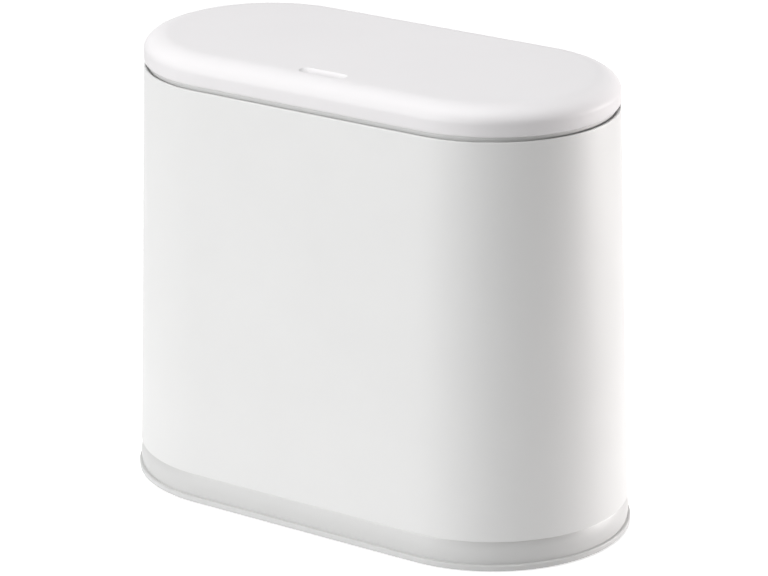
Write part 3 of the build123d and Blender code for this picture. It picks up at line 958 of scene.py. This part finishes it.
@dataclass
class Latch(SubAssembly):
    """Push latch in the frame: housing, plunger, magnet, cam pin and coil spring."""

    kept_nodes: ClassVar[dict[str, Slot]] = {
        "latch_housing": Slot.LATCH,
        "latch_cover": Slot.LATCH,
        "latch_plunger": Slot.LATCH,
        "latch_magnet": Slot.MAGNET,
        "latch_cam_pin": Slot.ZINC,
        "latch_screws": Slot.ZINC,
    }
    coil_wire: float = 0.5
    coil_radius: float = 1.85
    turns: int = 10
    travel: float = 1.69
    turn_steps: int = 24
    wire_sides: int = 10

    def coil(self) -> tuple[Surface, Vector, float]:
        """Compression spring as the helix (r cos a, y + r sin a, rise) between its seats.

        Returns:
            The wire, the point that stays still, and the share of its height that is left when pressed.
        """
        low, high = node_box("latch_spring")
        middle = (low + high) / 2
        bottom, top = low[2] + self.coil_wire / 2, high[2] - self.coil_wire / 2
        angle = np.linspace(0, self.turns * math.tau, self.turns * self.turn_steps + 1)
        spoke = np.stack([np.cos(angle), np.sin(angle), np.zeros_like(angle)], axis=1)
        rise = bottom + (top - bottom) * angle / angle[-1]
        path = self.coil_radius * spoke + np.stack([0 * rise, middle[1] + 0 * rise, rise], axis=1)
        seat = Vector((0, middle[1], low[2])) * MM
        keep = 1 - self.travel / (high[2] - low[2])
        return wire(path, spoke, self.coil_wire / 2, self.wire_sides), seat, keep

    def build(self) -> list[Piece]:
        """Work out the coil spring.

        Returns:
            The spring.
        """
        surface, seat, keep = self.coil()
        replaced = ("latch_spring",)
        return [PressedPiece(surface, "latch_coil", Body.FRAME, Slot.SPRING, replaced, joint="latch_press",
                             anchor=seat, keep=keep)]


@dataclass
class Hinge(SubAssembly):
    """Hinge pin with its clip, and the two torsion springs."""

    kept_nodes: ClassVar[dict[str, Slot]] = {"hinge_pin": Slot.ZINC, "hinge_pin_clip": Slot.SPRING}
    spring_wire: float = 1.2
    coil_radius: float = 3.1
    pitch: float = 1.9
    half_turns: int = 9
    leg: float = 10.0
    coil_start: float = 6.5
    turn_steps: int = 40
    leg_steps: int = 6

    def spring(self) -> Surface:
        """Right-hand torsion spring.

        Its middle line is the helix (s + p a / 2 pi, y + r sin a, z - r cos a) round the hinge line, with a
        straight leg along the tangent at each end. The spoke across the wire points away from the hinge line.

        Returns:
            The closed wire.
        """
        last = self.half_turns * math.pi
        angle = np.linspace(0, last, self.half_turns * self.turn_steps // 2 + 1)
        advance = self.pitch / math.tau
        radial = np.stack([np.zeros_like(angle), np.sin(angle), -np.cos(angle)], axis=1)
        axis = np.stack([self.coil_start + advance * angle, np.full_like(angle, self.plan.hinge_y),
                         np.full_like(angle, self.plan.hinge_z)], axis=1)
        coil = axis + self.coil_radius * radial
        tangent = unit(np.array([
            (advance, self.coil_radius * math.cos(end), self.coil_radius * math.sin(end)) for end in (0, last)
        ]))
        share = np.linspace(1, 0, self.leg_steps, endpoint=False)[:, None]
        path = np.concatenate([coil[0] - self.leg * share * tangent[0], coil,
                               coil[-1] + self.leg * share[::-1] * tangent[1]])
        spoke = np.concatenate([np.repeat(radial[:1], len(share), axis=0), radial,
                                np.repeat(radial[-1:], len(share), axis=0)])
        return wire(path, spoke, self.spring_wire / 2)

    def build(self) -> list[Piece]:
        """Work out both springs.

        Returns:
            The springs.
        """
        right = self.spring()
        coil_end = self.coil_start + self.pitch * self.half_turns / 2
        pieces = []
        for side, surface in ((Side.LEFT, right.mirrored()), (Side.RIGHT, right)):
            name = side.name.lower()
            span = tuple(
                Vector((side.value * x, self.plan.hinge_y, self.plan.hinge_z)) * MM
                for x in (self.coil_start, coil_end)
            )
            pieces.append(TwistedPiece(surface, f"torsion_spring_{name}", Body.FRAME, Slot.SPRING,
                                       (f"hinge_spring_{name}",), far_body=Body.LID, span=span))
        return pieces


@dataclass(frozen=True)
class Dimple:
    """Fingertip scoop in the lid: the lower part of a ball drawn along a short line."""

    length: float = 31.0
    width: float = 9.0
    depth: float = 1.6
    inset: float = 18.0
    soft: float = 0.12
    margin: float = 2.0
    line_step: float = 1.5
    end_rows: int = 22

    def line_half(self) -> float:
        """Half the length of the line that the ball is drawn along."""
        return (self.length - self.width) / 2

    def places(self) -> tuple[Array, Array]:
        """Places along the lid's side that draw the scoop's straight part and, closer together, its end."""
        along = np.arange(0, self.line_half(), self.line_step)
        return along, np.linspace(self.line_half(), self.length / 2 + self.margin, self.end_rows)

    def sink(self, grid: Array, row: float, top: float) -> Array:
        """Sink the scoop into the lid's skin.

        The scoop lies at h - sqrt(R^2 - d^2) for a ball of radius R and a distance d from its line. The skin goes
        down by the soft positive part of what it stands above that, (e + sqrt(e^2 + s^2)) / 2, which rounds the
        scoop's edge.

        Args:
            grid: Points of the skin.
            row: Distance of the scoop's line in front of the spine.
            top: Height of the lid's top.

        Returns:
            Points with the scoop.
        """
        half = self.width / 2
        ball = (half**2 + self.depth**2) / (2 * self.depth)
        beyond = np.maximum(np.abs(grid[..., 0]) - self.line_half(), 0)
        away = np.hypot(beyond, grid[..., 1] + row)
        scoop = top - self.depth + ball - np.sqrt(np.maximum(ball**2 - away**2, 0))
        excess = grid[..., 2] - scoop
        sink = (excess + np.sqrt(excess**2 + self.soft**2)) / 2
        outside = grid[..., 2] > top - self.depth
        sunk = grid.copy()
        sunk[..., 2] -= np.where(outside & (away < half + self.margin), sink, 0)
        return sunk


@dataclass(frozen=True)
class Knuckle:
    """Right-hand hinge knuckle of the lid, with its bore and a web to the skirt."""

    barrel: float = 4.0
    bore: float = 2.06
    start: float = 19.8
    end: float = 49.5
    bevel: float = 0.35
    web_columns: int = 8
    root_columns: int = 4
    gusset_columns: int = 6
    barrel_columns: int = 48

    def outline(self, web: float, low: float) -> tuple[Array, Array]:
        """Outline in polar form round the hinge line.

        It is the web's top r / sin v up to its corner, its root w / -cos v, a straight gusset back to the barrel,
        and the barrel's radius r.

        Args:
            web: Distance of the web's root in front of the hinge line.
            low: Height of the lid's lower edge above the hinge line.

        Returns:
            Angles and radii.
        """
        corner = math.atan2(self.barrel, -web)
        heel = math.atan2(low, -web)
        angle = np.concatenate([
            np.linspace(QUARTER, corner, self.web_columns)[1:],
            np.linspace(corner, heel, self.root_columns)[1:],
            np.linspace(heel, math.pi, self.gusset_columns)[1:-1],
            np.linspace(math.pi, 2.5 * math.pi, self.barrel_columns),
        ])
        top = self.barrel / np.maximum(np.sin(angle), TINY)
        root = web / np.maximum(-np.cos(angle), TINY)
        slant = low * np.cos(angle) + (web - self.barrel) * np.sin(angle)
        gusset = -self.barrel * low / np.minimum(slant, -TINY)
        radius = np.select([angle <= corner, angle <= heel, angle < math.pi], [top, root, gusset], self.barrel)
        return angle, radius

    def surface(self, hinge_y: float, hinge_z: float, root_y: float, edge_z: float) -> Surface:
        """Carry the outline along X, as (x, y + r cos v, z + r sin v), and close the loop through the bore.

        The ends are bevelled.

        Args:
            hinge_y: Place of the hinge line along Y.
            hinge_z: Height of the hinge line.
            root_y: Place of the web's root along Y.
            edge_z: Height of the lid's lower edge.

        Returns:
            The closed knuckle.
        """
        angle, radius = self.outline(hinge_y - root_y, edge_z - hinge_z)
        start, end, bevel = self.start, self.end, self.bevel
        x = np.array([start, start, start + bevel, (start + end) / 2, end - bevel, end, end])[:, None]
        spread = radius - np.array([0, bevel, 0, 0, 0, bevel, 0])[:, None]
        spread[[0, -1]] = self.bore
        grid = (x + 0 * angle, hinge_y + spread * np.cos(angle), hinge_z + spread * np.sin(angle))
        return Surface.from_grid(np.stack(grid, axis=-1), looped=True)


@dataclass
class Lid(SubAssembly):
    """Lid with its rolled edge, finger dimple, hinge knuckles and screw bosses, and the liner under it."""

    kept_nodes: ClassVar[dict[str, Slot]] = {
        "lid_liner": Slot.FRAME,
        "lid_screws": Slot.ZINC,
        "strike_plate": Slot.ZINC,
        "strike_screws": Slot.ZINC,
    }
    dimple: Dimple = Dimple()
    knuckle: Knuckle = Knuckle()
    gap: float = 2.5
    roll_width: float = 15.0
    roll_height: float = 9.5
    wall: float = 2.2
    top_wall: float = 2.6
    edge_round: float = 1.6
    inner_round: float = 0.3
    hinge_room: float = 0.3
    hinge_half: float = 61.8
    leg_middle: float = 15.54
    leg_half: float = 1.39
    leg_rise: float = 4.0
    cut_step: float = 0.04
    boss_radius: float = 3.4
    boss_bore: float = 1.3
    boss_round: float = 0.2
    boss_inset: float = 24.0
    boss_end_inset: float = 32.0
    boss_half_spacing: float = 70.0
    boss_sides: int = 32
    top_rows: int = 9
    dimple_rows: int = 40
    ceiling_rows: int = 6
    roll_steps: int = 40
    inner_skip: int = 4
    edge_steps: int = 10

    def dimple_row(self) -> float:
        """Distance of the dimple's line in front of the spine."""
        return self.plan.rim_radius - self.dimple.inset

    def lower_edge(self) -> float:
        """Height of the lid's lower edge."""
        return self.plan.sleeve_top + self.gap

    def section(self) -> Array:
        """Section from the middle of the top, over the elliptical roll and round the lower edge, to the ceiling.

        The roll is a quarter ellipse, (c + a cos t, d + b sin t), outside and a thinner one inside. Rows stand
        close together across the dimple.

        Returns:
            Rows of distance out and height.
        """
        edge, top, bottom = self.plan.rim_radius, self.plan.lid_top, self.lower_edge()
        middle = edge - self.roll_width
        level = top - self.roll_height
        start = self.dimple_row() - self.dimple.width / 2 - self.dimple.margin
        flat = np.concatenate([
            np.linspace(0, start, self.top_rows, endpoint=False),
            np.linspace(start, middle, self.dimple_rows, endpoint=False),
        ])
        turn = np.linspace(QUARTER, 0, self.roll_steps + 1)
        spokes = np.stack([np.cos(turn), np.sin(turn)], axis=1)
        outer = [middle, level] + spokes * [self.roll_width, self.roll_height]
        thin = [self.roll_width - self.wall, self.roll_height - self.top_wall]
        inner = [middle, level] + spokes[::-self.inner_skip] * thin
        foot = rounded(
            np.array([outer[-1], (edge, bottom), (edge - self.wall, bottom), inner[0]]),
            np.array([0, self.edge_round, self.inner_round, 0]),
            looped=False,
            steps=self.edge_steps,
        )
        ceiling = np.linspace(middle, 0, self.ceiling_rows)[1:]
        return np.concatenate([
            np.stack([flat, np.full_like(flat, top)], axis=1),
            outer[:-1],
            foot,
            inner[1:],
            np.stack([ceiling, np.full_like(ceiling, top - self.top_wall)], axis=1),
        ])

    def clear_hinge(self, grid: Array) -> Array:
        """Push the rear edge out of the hinge barrels and lift it over the springs' legs.

        A point nearer to the hinge line than the barrel's radius and its room is moved straight away from the line
        to that distance. Over a leg, heights are raised to the slot's top.

        Args:
            grid: Points of the lid's skin.

        Returns:
            Points clear of the hinge.
        """
        line = np.array([self.plan.hinge_y, self.plan.hinge_z])
        cleared = grid.copy()
        along = np.abs(grid[..., 0])
        offset = grid[..., 1:] - line
        distance = np.linalg.norm(offset, axis=-1)
        room = self.knuckle.barrel + self.hinge_room
        inside = (along <= self.hinge_half + self.cut_step / 2) & (distance < room)
        pushed = line + offset * (room / np.maximum(distance, TINY))[..., None]
        cleared[..., 1:] = np.where(inside[..., None], pushed, grid[..., 1:])
        leg_top = self.plan.hinge_z + self.leg_rise
        slot = (grid[..., 1] > 0) & (np.abs(along - self.leg_middle) <= self.leg_half + self.cut_step / 2)
        cleared[..., 2] = np.where(slot, np.maximum(cleared[..., 2], leg_top), cleared[..., 2])
        return cleared

    def skin(self) -> Surface:
        """The lid's shell, with columns close together at the dimple and on both sides of each cut.

        Returns:
            The closed skin.
        """
        cuts = np.array([self.hinge_half, self.leg_middle - self.leg_half, self.leg_middle + self.leg_half])
        beside = cuts + np.array([self.cut_step, -self.cut_step, self.cut_step])
        path = Stadium(self.plan.spine_half, stations(self.plan.spine_half, *self.dimple.places(), cuts, beside))
        grid = self.dimple.sink(path.carry(self.section()), self.dimple_row(), self.plan.lid_top)
        return Surface.from_grid(self.clear_hinge(grid), looped=False)

    def bosses(self) -> Surface:
        """Screw bosses between the liner and the ceiling.

        Returns:
            The bosses as one surface.
        """
        top = self.plan.lid_top - self.top_wall / 2
        bottom = node_box("lid_liner")[1, 2]
        section = rounded(
            np.array([
                (self.boss_bore, bottom),
                (self.boss_radius, bottom),
                (self.boss_radius, top),
                (self.boss_bore, top),
            ]),
            np.full(4, self.boss_round),
            looped=True,
        )
        row = self.plan.rim_radius - self.boss_inset
        end = self.plan.spine_half + self.plan.rim_radius - self.boss_end_inset
        places = [(side.value * self.boss_half_spacing, y * row) for side in Side for y in (-1, 1)]
        places += [(side.value * end, 0) for side in Side]
        return Surface.joined([turned(section, x, y, looped=True, sides=self.boss_sides) for x, y in places])

    def build(self) -> list[Piece]:
        """Work out the shell, its knuckles and its bosses.

        Returns:
            The shell, the knuckles and the bosses.
        """
        plan = self.plan
        right = self.knuckle.surface(plan.hinge_y, plan.hinge_z, plan.rim_radius - self.wall, self.lower_edge())
        return [
            Piece(self.skin(), "lid_moulding", Body.LID, Slot.LID, ("lid_shell",)),
            Piece(Surface.joined([right, right.mirrored()]), "lid_knuckles", Body.LID, Slot.LID),
            Piece(self.bosses(), "lid_bosses", Body.LID, Slot.LID),
        ]


@dataclass(frozen=True)
class Softbox:
    """Soft lamp that looks at the bin, with its middle at a height and a distance along the floor."""

    name: str
    azimuth: float
    distance: float
    rise: float
    width: float
    height: float
    power: float
    tint: Triple = (1.0, 1.0, 1.0)

    def hang(self, target: Vector) -> None:
        """Make the lamp.

        Args:
            target: Point that the lamp looks at.
        """
        turn = math.radians(self.azimuth)
        place = Vector((math.cos(turn) * self.distance, math.sin(turn) * self.distance, self.rise))
        lamp = bpy.data.lights.new(self.name, "AREA")
        lamp.shape = "RECTANGLE"
        lamp.size = self.width
        lamp.size_y = self.height
        lamp.energy = self.power
        lamp.color = self.tint
        holder = bpy.data.objects.new(self.name, lamp)
        holder.location = place
        holder.rotation_euler = (target - place).to_track_quat("-Z", "Y").to_euler()
        holder.visible_camera = False
        bpy.context.scene.collection.objects.link(holder)


@dataclass
class Studio:
    """Pale floor, white surroundings, softboxes and the camera."""

    floor_radius: float = 1.3
    floor_sides: int = 96
    floor_colour: Triple = (0.80, 0.80, 0.80)
    floor_lift: Triple = (0.75, 0.75, 0.75)
    target: Triple = (0.0, 0.0, 0.13)
    camera_place: Triple = (1.19673, -1.72262, 0.87298)
    camera_yaw: float = 0.6059
    camera_pitch: float = 0.3421
    camera_roll: float = -0.0056
    focal_pixels: float = 3827.5
    sensor: float = 36.0
    softboxes: tuple[Softbox, ...] = (
        Softbox("left_softbox", azimuth=-112.0, distance=2.3, rise=0.75, width=1.4, height=0.9, power=37.8),
        Softbox("right_softbox", azimuth=42.0, distance=2.4, rise=0.13, width=1.5, height=0.26, power=47.8,
                tint=(1.0, 0.965, 0.955)),
        Softbox("top_softbox", azimuth=-90.0, distance=0.05, rise=1.7, width=1.2, height=1.2, power=19.9),
    )

    @staticmethod
    def seen_directly(tree: bpy.types.NodeTree) -> Socket:
        """Factor that is 1 for camera, glossy and transmission rays and 0 for the rest.

        Args:
            tree: Node tree of the floor or the world.

        Returns:
            The factor's socket.
        """
        rays = tree.nodes.new("ShaderNodeLightPath")
        factor = rays.outputs["Is Camera Ray"]
        for name in ("Is Glossy Ray", "Is Transmission Ray"):
            either = tree.nodes.new("ShaderNodeMath")
            either.operation = "MAXIMUM"
            tree.links.new(factor, either.inputs[0])
            tree.links.new(rays.outputs[name], either.inputs[1])
            factor = either.outputs["Value"]
        return factor

    def lay_floor(self) -> None:
        """Flat round floor: the points (r cos v, r sin v, 0) of one face."""
        turn = np.arange(self.floor_sides) * (math.tau / self.floor_sides)
        rim = np.stack([np.cos(turn), np.sin(turn), np.zeros_like(turn)], axis=1) * self.floor_radius
        mesh = bpy.data.meshes.new("studio_floor")
        mesh.from_pydata(rim.tolist(), [], [list(range(self.floor_sides))])
        mesh.materials.append(self.floor_material())
        floor = bpy.data.objects.new("studio_floor", mesh)
        bpy.context.scene.collection.objects.link(floor)

    def floor_material(self) -> bpy.types.Material:
        """Matt white that takes the bin's shadow, lifted towards white where it is seen.

        Returns:
            The material.
        """
        material = bpy.data.materials.new("studio_floor")
        material.use_nodes = True
        tree = material.node_tree
        tree.nodes.clear()
        matt = tree.nodes.new("ShaderNodeBsdfDiffuse")
        matt.inputs["Color"].default_value = (*self.floor_colour, 1)
        glow = tree.nodes.new("ShaderNodeEmission")
        glow.inputs["Color"].default_value = (*self.floor_lift, 1)
        both = tree.nodes.new("ShaderNodeAddShader")
        output = tree.nodes.new("ShaderNodeOutputMaterial")
        tree.links.new(self.seen_directly(tree), glow.inputs["Strength"])
        tree.links.new(matt.outputs["BSDF"], both.inputs[0])
        tree.links.new(glow.outputs["Emission"], both.inputs[1])
        tree.links.new(both.outputs["Shader"], output.inputs["Surface"])
        return material

    def light_world(self) -> None:
        """White where it is seen, with no light of its own on the matt surfaces."""
        world = bpy.data.worlds.new("studio_world")
        bpy.context.scene.world = world
        world.use_nodes = True
        tree = world.node_tree
        tree.nodes.clear()
        white = tree.nodes.new("ShaderNodeBackground")
        white.inputs["Color"].default_value = (1, 1, 1, 1)
        output = tree.nodes.new("ShaderNodeOutputWorld")
        tree.links.new(self.seen_directly(tree), white.inputs["Strength"])
        tree.links.new(white.outputs["Background"], output.inputs["Surface"])

    def set_camera(self) -> None:
        """Camera at the photograph's place.

        Its lens is the focal length in pixels, times the sensor's width, over the image's width.
        """
        camera = bpy.data.cameras.new("photo_camera")
        camera.sensor_width = self.sensor
        camera.sensor_fit = "HORIZONTAL"
        camera.lens = self.focal_pixels * self.sensor / IMAGE_WIDTH
        camera.dof.use_dof = False
        holder = bpy.data.objects.new("photo_camera", camera)
        holder.location = self.camera_place
        aim = Euler((QUARTER - self.camera_pitch, 0, self.camera_yaw)).to_matrix()
        holder.rotation_euler = (aim @ Matrix.Rotation(self.camera_roll, 3, "Z")).to_euler()
        bpy.context.scene.collection.objects.link(holder)
        bpy.context.scene.camera = holder

    def build(self) -> None:
        """Set up the whole studio."""
        bpy.context.scene.view_settings.view_transform = "Standard"
        self.lay_floor()
        self.light_world()
        for softbox in self.softboxes:
            softbox.hang(Vector(self.target))
        self.set_camera()
        LOG.info("Studio: floor, world, %d softboxes and camera", len(self.softboxes))


def main() -> None:
    """Build the studio and every sub-assembly in order, from the floor upwards."""
    logging.basicConfig(level=logging.INFO, format="%(message)s")
    Studio().build()
    plan = Plan.from_frame()
    rack = FinishRack()
    for assembly in (Base, Sleeve, Bucket, TopFrame, Latch, Hinge, Lid):
        assembly(plan).dress(rack)


if __name__ == "__main__":
    main()
